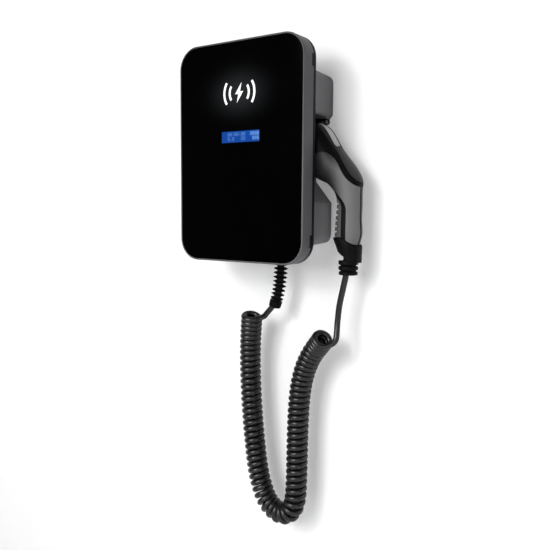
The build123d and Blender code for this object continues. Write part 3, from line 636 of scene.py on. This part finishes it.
@dataclass
class Cord:
    """The cord from the gland to the connector: a lead, close turns that hang in a loop, and a lead.

    Lengths and places are in millimetres, the stated length in metres, angles in degrees. The pitches are
    pairs of a share of the way along the turns and the spacing of the turns there.
    """

    diameter: float = 9.0
    outer_diameter: float = 34.2
    points_per_turn: int = 12
    start_angle: float = 5.0
    end_angle: float = 160.0
    length: float = 5.69
    samples: int = 4000
    smoothing: int = 61
    first_lead: tuple = (
        (22.5, -37.0, -232.65), (17.36, -37.0, -238.78), (10.5, -36.5, -245.4), (4.0, -34.0, -252.0),
    )
    axis: tuple = (
        (-9.5, -49.0, -249.0), (-14.5, -43.5, -264.0), (-19.0, -39.5, -290.0), (-21.4, -37.0, -330.0),
        (-18.9, -37.0, -385.0), (-13.0, -37.0, -448.0), (-4.5, -37.0, -508.0), (8.8, -37.0, -545.0),
        (24.0, -37.0, -561.5), (43.0, -37.0, -567.0), (59.5, -37.0, -559.0), (67.6, -37.0, -540.0),
        (69.4, -37.0, -505.0), (70.0, -37.0, -455.0), (70.8, -37.0, -405.0), (74.0, -37.0, -358.0),
        (82.0, -37.0, -325.0), (95.5, -38.5, -299.0), (109.5, -41.0, -283.0), (121.5, -50.5, -272.0),
    )
    last_lead: tuple = (
        (140.0, -44.5, -275.0), (138.0, -39.5, -260.0), (137.6, -37.0, -244.0), (139.8, -37.0, -222.0),
        (144.8, -37.0, -200.0), (148.54, -37.0, -183.83), (150.2, -37.0, -176.0),
    )
    pitches: tuple = (
        (0.0, 8.7), (0.06, 8.8), (0.13, 9.7), (0.48, 9.9), (0.565, 11.4), (0.67, 9.9), (0.8, 9.7),
        (0.91, 8.8), (1.0, 8.6),
    )
    finish: Finish = Finish("cord_jacket", (5, 5, 5), roughness=0.32, specular=0.62, grain_scale=900.0,
                            grain_depth=0.02, tone_spread=0.15, marks=0.2, edge_wear=0.0)

    @staticmethod
    def curve(name: str, points: np.ndarray, steps: int) -> bpy.types.Object:
        """A smooth open line with the given control points.

        Args:
            name: the curve's name.
            points: one row of x, y, z in metres for each control point.
            steps: how many short lines stand for the part between two control points.

        Returns:
            The curve object, linked to the scene.
        """
        data = bpy.data.curves.new(name, "CURVE")
        data.dimensions = "3D"
        data.resolution_u = steps
        spline = data.splines.new("NURBS")
        spline.points.add(len(points) - 1)
        spline.points.foreach_set("co", np.column_stack([points, np.ones(len(points))]).ravel())
        spline.order_u = 3
        spline.use_endpoint_u = True
        made = bpy.data.objects.new(name, data)
        bpy.context.collection.objects.link(made)
        return made

    def axis_line(self) -> np.ndarray:
        """The smooth middle line of the curled part.

        Returns:
            Its points, close together, one row of x, y, z each.
        """
        probe = self.curve("curl_axis", np.array(self.axis) * MM, 24)
        mesh = bpy.data.meshes.new_from_object(probe)
        line = np.empty(len(mesh.vertices) * 3)
        mesh.vertices.foreach_get("co", line)
        bpy.data.objects.remove(probe)
        bpy.data.meshes.remove(mesh)
        return line.reshape(-1, 3)

    def even_line(self) -> tuple[np.ndarray, np.ndarray, np.ndarray]:
        """The middle line at even steps, with its direction.

        The direction is averaged over neighbouring steps, so that the turns follow a bend without a jump.

        Returns:
            The distances along the line, its points and its directions.
        """
        line = self.axis_line()
        step = np.linalg.norm(np.diff(line, axis=0), axis=1)
        along = np.concatenate([[0.0], np.cumsum(step)])
        fine = np.linspace(0.0, along[-1], self.samples)
        line = sampled(fine, along, line)
        tangent = unit(np.gradient(line, fine, axis=0))
        margin = self.smoothing // 2
        window = np.ones(self.smoothing) / self.smoothing
        padded = np.pad(tangent, ((margin, margin), (0, 0)), mode="edge")
        tangent = np.stack([np.convolve(padded[:, i], window, mode="valid") for i in range(3)], -1)
        return fine, line, unit(tangent)

    def turns(self) -> np.ndarray:
        """The turns round the middle line.

        The angle grows by one turn for a pitch, which is shortest at the ends and longest at the bottom,
        where the cord's weight pulls the turns apart. Each point stands one radius from the line, at that
        angle between the line's own side and the front.

        Returns:
            The control points of all the turns.
        """
        fine, line, tangent = self.even_line()
        share, spacing = np.array(self.pitches).T
        pitch = np.interp(fine / fine[-1], share, spacing) * MM
        angle = np.concatenate([[0.0], np.cumsum(np.diff(fine) / pitch[1:])]) * FULL_TURN
        whole = round(angle[-1] / FULL_TURN) + (self.end_angle - self.start_angle) / 360
        angle = angle * whole * FULL_TURN / angle[-1] + math.radians(self.start_angle)
        stops = np.linspace(angle[0], angle[-1], round(whole * self.points_per_turn))
        spot = np.interp(stops, angle, fine)
        centre = sampled(spot, fine, line)
        ahead = unit(sampled(spot, fine, tangent))
        viewer = np.array([0.0, -1.0, 0.0])
        front = unit(viewer - ahead * (ahead @ viewer)[:, None])
        side = np.cross(front, ahead)
        reach = (self.outer_diameter - self.diameter) / 2 * MM / math.cos(math.pi / self.points_per_turn)
        return centre + reach * (np.cos(stops)[:, None] * side + np.sin(stops)[:, None] * front)

    def build(self) -> bpy.types.Object:
        """Returns:
            The cord as a curve object.
        """
        points = np.concatenate([np.array(self.first_lead) * MM, self.turns(), np.array(self.last_lead) * MM])
        made = self.curve("charging_cord", points, 4)
        made.data.bevel_depth = self.diameter * MM / 2
        made.data.bevel_resolution = 5
        made.data.use_fill_caps = True
        made.data.materials.append(self.finish.material())
        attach(made, "wallbox")
        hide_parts("lead_out", "curly_cord", "lead_in")
        log.info("cord: %d control points", len(points))
        return made


@dataclass
class Finishes:
    """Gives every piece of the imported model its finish: each finish stands with the nodes that wear it."""

    plain: tuple[tuple[Finish, tuple[str, ...]], ...] = (
        # The cover has painted shade: its colour is darker towards its top.
        (Finish("cover_shell", (92, 92, 95), roughness=0.46, specular=0.3, grain_scale=2200.0, marks=0.15,
                painted_shade=PaintedShade((0.0, 1.0), 0.12, -0.08, 0.54)),
         ("front_cover",)),
        (Finish("seal_rubber", (14, 14, 14), roughness=0.8), ("cover_seal",)),
        # The housing has painted shade: a raised colour, darkened towards the top, so that its lower flank
        # reads as lit.
        (Finish("housing_shell", (130, 130, 132), roughness=0.55, specular=0.3, grain_scale=1500.0,
                grain_depth=0.05, marks=0.2, painted_shade=PaintedShade((0.0, 1.0), 0.0, -0.05, 0.62)),
         ("rear_housing",)),
        (Finish("flange_shell", (24, 24, 25), roughness=0.55, specular=0.12, grain_scale=1500.0,
                grain_depth=0.05, marks=0.2),
         ("rear_flange",)),
        (Finish("holster_black", (7, 7, 7), roughness=0.45, specular=0.1), ("holster_socket",)),
        (Finish("frame_black", (8, 8, 8), roughness=0.5, specular=0.1), ("display_frame",)),
        (Finish("board_green", (24, 74, 44), roughness=0.3, coat=0.4),
         ("display_board", "light_board", "main_board")),
        (Finish("diffuser_milk", (228, 230, 234), roughness=0.5, tone_spread=0.02), ("light_diffuser",)),
        (Finish("rail_steel", (186, 188, 190), Surface.METAL, roughness=0.34, grain_scale=500.0),
         ("mounting_rail",)),
        (Finish("screw_steel", (170, 171, 173), Surface.METAL, roughness=0.3, grain_scale=700.0),
         tuple(f"cover_screw_{number}" for number in range(1, 5))),
        (Finish("contact_silver", (214, 212, 205), Surface.METAL, roughness=0.2, grain_scale=600.0),
         tuple(f"contact_{number}" for number in range(1, 8))),
        (Finish("device_grey", (188, 190, 190), roughness=0.5), ("contactor", "leakage_breaker")),
        (Finish("supply_case", (118, 122, 126), roughness=0.5), ("power_supply",)),
        (Finish("terminal_green", (74, 110, 78), roughness=0.5), ("terminal_block",)),
        (Finish("gland_plastic", (10, 10, 10), roughness=0.42, specular=0.12),
         ("gland_body", "gland_locknut", "gland_nut")),
        (Finish("protector_rubber", (13, 13, 13), roughness=0.5, specular=0.12), ("bend_protector",)),
        (Finish("collar_rubber", (6, 6, 6), roughness=0.45, specular=0.1), ("protector_collar",)),
        (Finish("gun_black", (6, 6, 6), roughness=0.42, specular=0.08), ("gun_core",)),
        # The back shell has a painted shadow of the box: its colour is darker towards the box.
        (Finish("gun_shell", (47, 47, 46), roughness=0.44, specular=0.2, grain_depth=0.04,
                painted_shade=PaintedShade((1.0, 0.0), 0.120, 0.156, 0.3)),
         ("gun_back_shell",)),
        # The inlays have a painted shadow of the box: their colour is darker towards the box.
        (Finish("gun_inlay", (106, 106, 107), roughness=0.48, specular=0.3, grain_depth=0.04,
                painted_shade=PaintedShade((1.0, 0.0), 0.130, 0.160, 0.12)),
         ("gun_inlay_front", "gun_inlay_rear")),
        (Finish("grip_rubber", (76, 76, 76), roughness=0.62, specular=0.3), ("grip_pad",)),
        (Finish("button_plastic", (176, 176, 176), roughness=0.45), ("release_button",)),
        (Finish("boot_rubber", (5, 5, 5), roughness=0.45, specular=0.1), ("gun_boot",)),
        (Finish("relief_rubber", (7, 7, 7), roughness=0.45, specular=0.1), ("strain_relief",)),
        (Finish("nose_plastic", (10, 10, 10), roughness=0.42, specular=0.12), ("nose_sleeve",)),
        (Finish("insert_plastic", (18, 18, 18), roughness=0.5, specular=0.15), ("contact_insert",)),
        (Finish("display_pane", (250, 250, 250), Surface.CLEAR, roughness=0.03, specular=0.1,
                grain_depth=0.0, tone_spread=0.0, marks=0.05),
         ("display_window",)),
    )
    panel: Finish = Finish("panel_gloss", (1, 1, 1), roughness=0.06, specular=0.03, grain_depth=0.0,
                           marks=0.05)
    screen: Glow = Glow("display_light", (2, 70, 160), patch_depth=0.18)
    # colour, size and fall of the painted glow round the lit mark
    halo_colour: tuple[float, float, float] = (42, 44, 46)
    halo_half_size: tuple[float, float] = (0.036, 0.024)
    halo_fall: float = -0.9

    def dress(self, frame: dict) -> None:
        """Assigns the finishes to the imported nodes.
        """
        chosen = {name: finish.material() for finish, names in self.plain for name in names}
        chosen["front_panel"] = self.panel_gloss()
        chosen["display_screen"] = self.screen.material()
        for name, node in frame["nodes"].items():
            made = chosen.get(name)
            if made is None:
                continue
            node.data.materials.clear()
            node.data.materials.append(made)
            log.info("dressed %s with %s", name, made.name)

    def panel_gloss(self) -> bpy.types.Material:
        """Black gloss with a painted glow round the lit mark: the soft light that the mark throws into the
        sheet round it, given as emission.

        The light falls with the square of the distance from the mark's middle, measured in an oval.

        Returns:
            The panel's material.
        """
        made = self.panel.material()
        tree = made.node_tree
        shader = tree.nodes["Principled BSDF"]
        oval = {
            "Location": (MARK_CENTRE[0], PANEL_FACE, MARK_CENTRE[1]),
            "Scale": (self.halo_half_size[0], 1.0, self.halo_half_size[1]),
        }
        place = add_node(tree, "TexCoord")
        mapping = add_node(tree, "Mapping", oval, vector_type="TEXTURE")
        length = add_node(tree, "VectorMath", operation="LENGTH")
        square = add_node(tree, "Math", {1: 2.0}, operation="POWER")
        fall = add_node(tree, "Math", {1: self.halo_fall}, operation="MULTIPLY")
        bell = add_node(tree, "Math", operation="EXPONENT")
        halo = add_node(tree, "Mix", {"A": BLACK, "B": linear(self.halo_colour)}, data_type="RGBA")
        link = tree.links.new
        link(place.outputs["Object"], mapping.inputs["Vector"])
        link(mapping.outputs["Vector"], length.inputs[0])
        link(length.outputs["Value"], square.inputs[0])
        link(square.outputs[0], fall.inputs[0])
        link(fall.outputs[0], bell.inputs[0])
        link(bell.outputs[0], halo.inputs["Factor"])
        link(halo.outputs["Result"], shader.inputs["Emission Color"])
        # the panel emits the painted glow
        shader.inputs["Emission Strength"].default_value = 1.0
        return made


@dataclass(frozen=True)
class Lamp:
    """A square lamp that looks at the middle of the object: place and side in metres, power in watts."""

    name: str
    place: tuple[float, float, float]
    size: float
    power: float
    target: tuple[float, float, float] = (0.05, -0.05, -0.15)

    def build(self) -> None:
        """Hangs the lamp."""
        data = bpy.data.lights.new(self.name, "AREA")
        data.size = self.size
        data.energy = self.power
        made = bpy.data.objects.new(self.name, data)
        made.location = self.place
        look = Vector(self.target) - Vector(self.place)
        made.rotation_euler = look.to_track_quat("-Z", "Y").to_euler()
        bpy.context.collection.objects.link(made)


@dataclass
class Room:
    """The white wall behind the box, the floor far below it, the lamps and the light all round.

    The hole in the wall is given as its left, right, low and high side. The camera lift is the light that is
    added to the paint for the camera alone.
    """

    wall_y: float = 0.0008
    wall_half: float = 2.2
    wall_top: float = 1.6
    floor_z: float = -0.95
    floor_reach: float = 3.0
    hole: tuple[float, float, float, float] = (-0.096, 0.070, -0.126, 0.110)
    camera_lift: float = 0.2
    sky_level: float = 0.2
    paint_low: tuple[float, ...] = (0.80, 0.80, 0.805, 1.0)
    paint_high: tuple[float, ...] = (0.82, 0.82, 0.825, 1.0)
    paint_roughness: float = 0.9
    paint_specular: float = 0.1
    lamps: tuple[Lamp, ...] = (
        Lamp("key_lamp", (-0.36, -2.1, 0.6), 1.4, 36.0),
        Lamp("spot_lamp", (-0.5, -2.1, 0.75), 0.3, 8.0),
        Lamp("fill_lamp", (1.6, -1.5, 0.1), 1.2, 6.2),
        Lamp("low_lamp", (1.2, -0.9, -1.1), 0.9, 4.5),
        Lamp("rear_lamp", (-0.6, 1.9, 0.8), 1.4, 24.0),
    )

    def paint(self, name: str, see_through_back: bool) -> bpy.types.Material:
        """Pale paint that the camera sees a little brighter than the lamps make it, so that it turns white.

        Args:
            name: the material's name.
            see_through_back: whether it can't be seen from behind.

        Returns:
            The paint.
        """
        made, tree, shader = new_material(name)
        shader.inputs["Roughness"].default_value = self.paint_roughness
        shader.inputs["Specular IOR Level"].default_value = self.paint_specular
        grain = add_node(tree, "Group", node_tree=Groups.grain())
        tone = add_node(tree, "Mix", {"A": self.paint_low, "B": self.paint_high}, data_type="RGBA")
        path = add_node(tree, "LightPath")
        glow = add_node(tree, "Emission", {"Color": WHITE})
        amount = add_node(tree, "Math", {1: self.camera_lift}, operation="MULTIPLY")
        both = add_node(tree, "AddShader")
        end = tree.nodes["Material Output"]
        link = tree.links.new
        link(grain.outputs["Tone"], tone.inputs["Factor"])
        link(tone.outputs["Result"], shader.inputs["Base Color"])
        link(path.outputs["Is Camera Ray"], amount.inputs[0])
        link(amount.outputs[0], glow.inputs["Strength"])
        link(shader.outputs[0], both.inputs[0])
        link(glow.outputs[0], both.inputs[1])
        if not see_through_back:
            link(both.outputs[0], end.inputs["Surface"])
            return made
        side = add_node(tree, "NewGeometry")
        clear = add_node(tree, "BsdfTransparent")
        choice = add_node(tree, "MixShader")
        link(side.outputs["Backfacing"], choice.inputs["Fac"])
        link(both.outputs[0], choice.inputs[1])
        link(clear.outputs[0], choice.inputs[2])
        link(choice.outputs[0], end.inputs["Surface"])
        return made

    def wall(self) -> bpy.types.Object:
        """The wall: nine quads in three rows, without the middle one, which the box covers.

        Returns:
            The wall.
        """
        left, right, low, high = self.hole
        across = [-self.wall_half, left, right, self.wall_half]
        x, z = np.meshgrid(across, [self.floor_z, low, high, self.wall_top])
        points = np.stack([x, np.full_like(x, self.wall_y), z], -1)
        quads = Maker.grid_faces(4, 4)
        around = np.delete(quads, len(quads) // 2, axis=0)
        return Maker.piece("wall", points, around, self.paint("wall_paint", True))

    def floor(self) -> bpy.types.Object:
        """The floor: one quad.

        Returns:
            The floor.
        """
        ends = [-self.floor_reach, self.floor_reach]
        x, y = np.meshgrid(ends, ends)
        points = np.stack([x, y, np.full_like(x, self.floor_z)], -1)
        return Maker.piece("floor", points, Maker.grid_faces(2, 2), self.paint("floor_paint", False))

    def build(self) -> None:
        """Puts up the wall, the floor, the lamps and the light all round."""
        self.wall()
        self.floor()
        for lamp in self.lamps:
            lamp.build()
        self.sky()

    def sky(self) -> None:
        """Even light all round, which the camera sees as white."""
        world = bpy.data.worlds.new("studio")
        bpy.context.scene.world = world
        world.use_nodes = True
        tree = world.node_tree
        back = tree.nodes["Background"]
        back.inputs["Color"].default_value = WHITE
        path = add_node(tree, "LightPath")
        level = add_node(tree, "MapRange", {"To Min": self.sky_level, "To Max": 1.0})
        tree.links.new(path.outputs["Is Camera Ray"], level.inputs["Value"])
        tree.links.new(level.outputs["Result"], back.inputs["Strength"])


@dataclass
class Viewpoint:
    """Where the photograph was taken from: place in metres, angles in degrees, lens in millimetres."""

    eye: tuple[float, float, float] = (0.6002, -0.8814, -0.0820)
    azimuth: float = 34.231
    elevation: float = 5.716
    roll: float = 0.442
    lens: float = 43.2
    sensor: float = 36.0
    nearest: float = 0.02

    def build(self) -> None:
        """Places the camera and makes it the scene's own."""
        turn, rise, lean = (math.radians(a) for a in (self.azimuth, self.elevation, self.roll))
        back = Vector((math.sin(turn) * math.cos(rise), -math.cos(turn) * math.cos(rise), math.sin(rise)))
        level = Vector((math.cos(turn), math.sin(turn), 0.0))
        upright = back.cross(level)
        right = level * math.cos(lean) + upright * math.sin(lean)
        up = upright * math.cos(lean) - level * math.sin(lean)
        data = bpy.data.cameras.new("camera")
        data.sensor_width = self.sensor
        data.lens = self.lens
        data.clip_start = self.nearest
        camera = bpy.data.objects.new("camera", data)
        camera.matrix_world = Matrix.Translation(self.eye) @ Matrix((right, up, back)).transposed().to_4x4()
        bpy.context.collection.objects.link(camera)
        bpy.context.scene.camera = camera


def main() -> None:
    """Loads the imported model, dresses it and sets the room, the lamps and the camera."""
    logging.basicConfig(level=logging.INFO, format="%(message)s")
    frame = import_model()
    Viewpoint().build()
    Cord().build()
    Finishes().dress(frame)
    for part in (ChargeMark(), Display()):
        made = part.build()
        log.info("built %s", made.name)
    Room().build()
    bpy.context.scene.view_settings.view_transform = "Standard"


if __name__ == "__main__":
    main()
